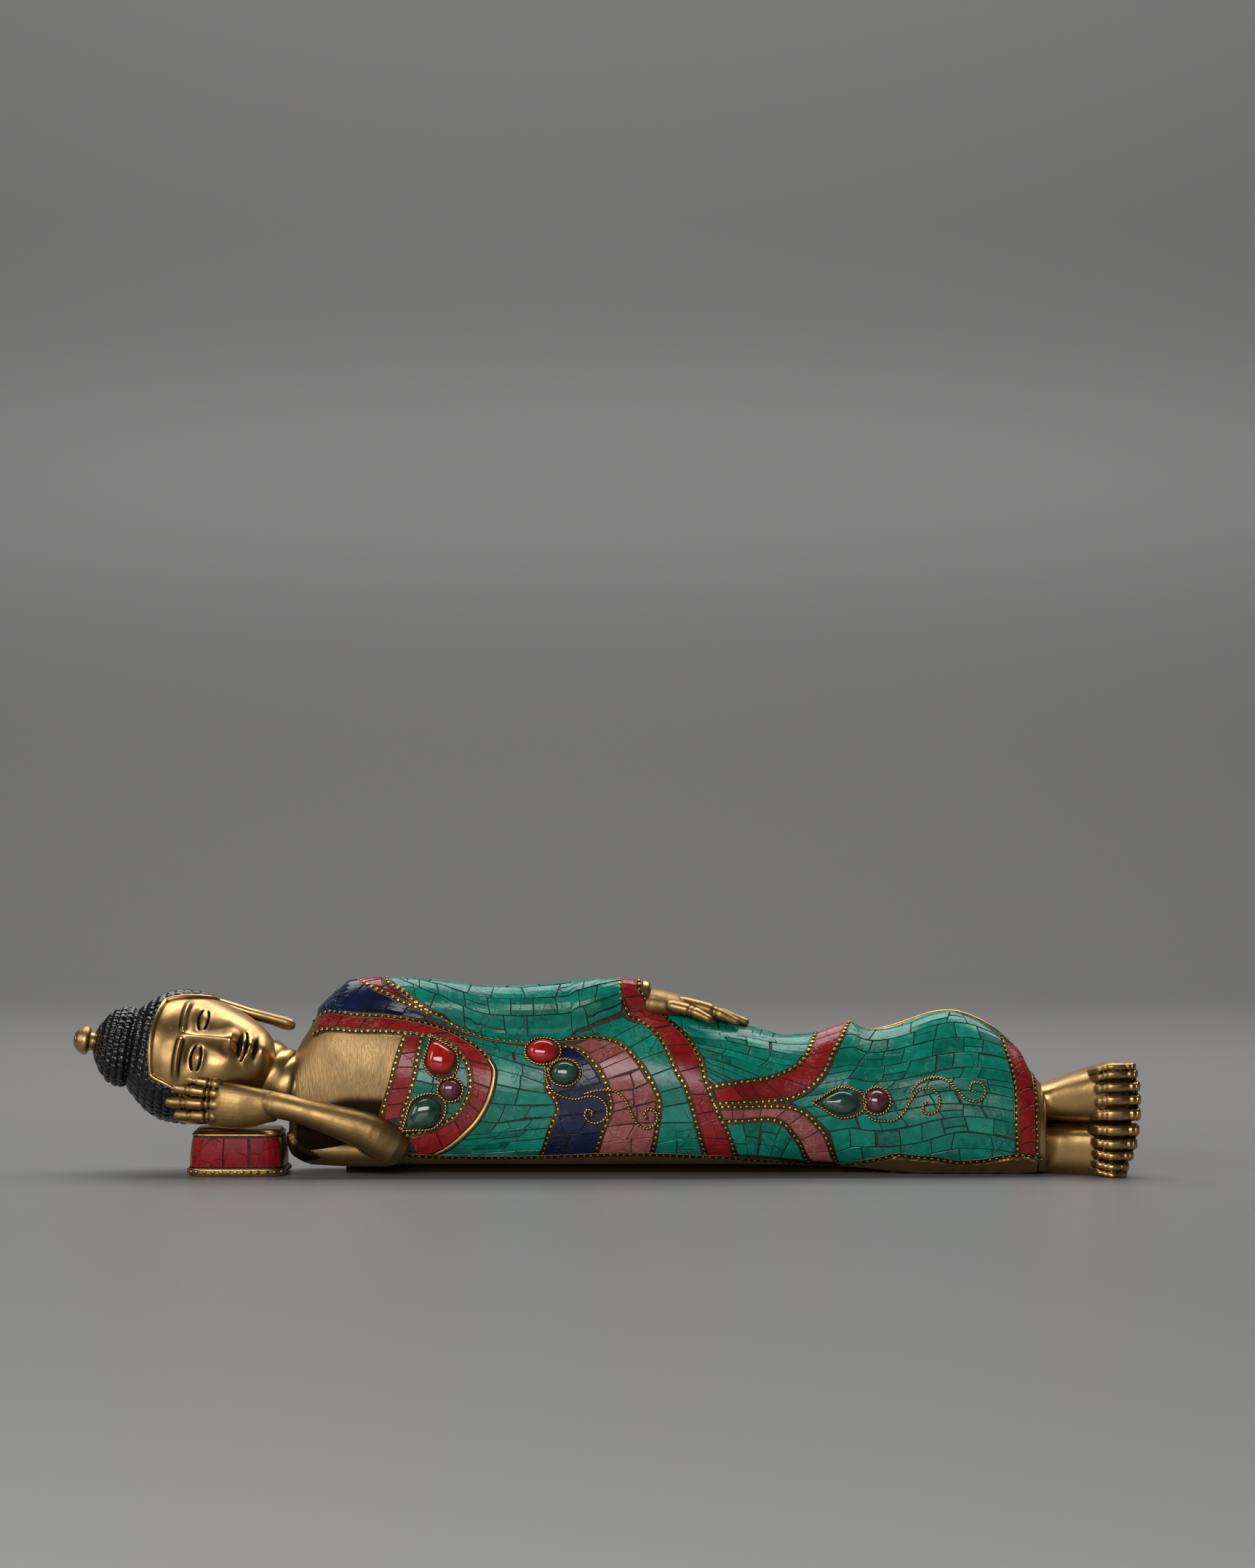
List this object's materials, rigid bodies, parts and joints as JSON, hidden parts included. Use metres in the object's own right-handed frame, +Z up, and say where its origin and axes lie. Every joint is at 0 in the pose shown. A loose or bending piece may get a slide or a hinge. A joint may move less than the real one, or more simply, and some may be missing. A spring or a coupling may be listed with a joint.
{
  "type": "reclining buddha statue",
  "caption": "Cast brass reclining Buddha lying on its right side with its head on a pillow, the robe inlaid with stone mosaic; for display.",
  "frame": {"origin": "middle of the figure's box, at the floor it lies on", "axes": "+Z up, +X along the figure from the head to the feet, the face and chest towards -Y"},
  "size_m": [0.3289, 0.0449, 0.0603],
  "materials": {
    "brass": "polished brass with dark patina in the hollows",
    "turquoise": "turquoise chips, ground flat and lightly scratched",
    "coral": "red coral chips, ground flat, semi-gloss",
    "pale_coral": "coral chips with a pale polished surface",
    "lapis": "dark lapis chips, semi-gloss",
    "jade": "polished dark green stone",
    "ruby": "polished dark red stone"
  },
  "bodies": {
    "root": {"figure_casting": "brass", "pillow": "brass", "pillow_coral_front": "coral", "pillow_coral_back": "coral", "coral_neckline": "coral", "coral_chest_band": "coral", "coral_diagonal_band": "coral", "coral_leg_band": "coral", "coral_hem_band": "coral", "coral_back_band": "coral", "coral_back_hem": "coral", "coral_drop_chest": "coral", "coral_oval_hip": "coral", "coral_hip": "pale_coral", "coral_low_band": "pale_coral", "turquoise_chest": "turquoise", "turquoise_sleeve": "turquoise", "turquoise_waist": "turquoise", "turquoise_cuff_strip": "turquoise", "turquoise_thigh": "turquoise", "turquoise_low_patch": "turquoise", "turquoise_legs": "turquoise", "turquoise_back_upper": "turquoise", "turquoise_back_hip": "turquoise", "turquoise_back_legs": "turquoise", "lapis_shoulder": "lapis", "lapis_hip": "lapis", "lapis_back": "lapis", "jade_drop_chest": "jade", "jade_bead_hip": "jade", "jade_drop_leg": "jade", "ruby_bead_chest": "ruby", "ruby_bead_leg": "ruby", "coral_drop_bezel_chest": "brass", "ruby_bead_bezel_chest": "brass", "jade_drop_bezel_chest": "brass", "coral_oval_bezel_hip": "brass", "jade_bead_bezel_hip": "brass", "jade_drop_bezel_leg": "brass", "ruby_bead_bezel_leg": "brass", "neckline_inner_wire": "brass", "neckline_outer_wire": "brass", "hip_middle_wire": "brass", "hip_outer_wire": "brass", "diagonal_left_wire": "brass", "diagonal_right_wire": "brass", "leg_upper_wire": "brass", "leg_lower_wire": "brass", "low_upper_wire": "brass", "low_lower_wire": "brass", "hem_left_wire": "brass", "hip_scroll_lower": "brass", "hip_scroll_upper": "brass", "leg_scroll_lower": "brass", "leg_scroll_upper": "brass"}
  },
  "joints": []
}
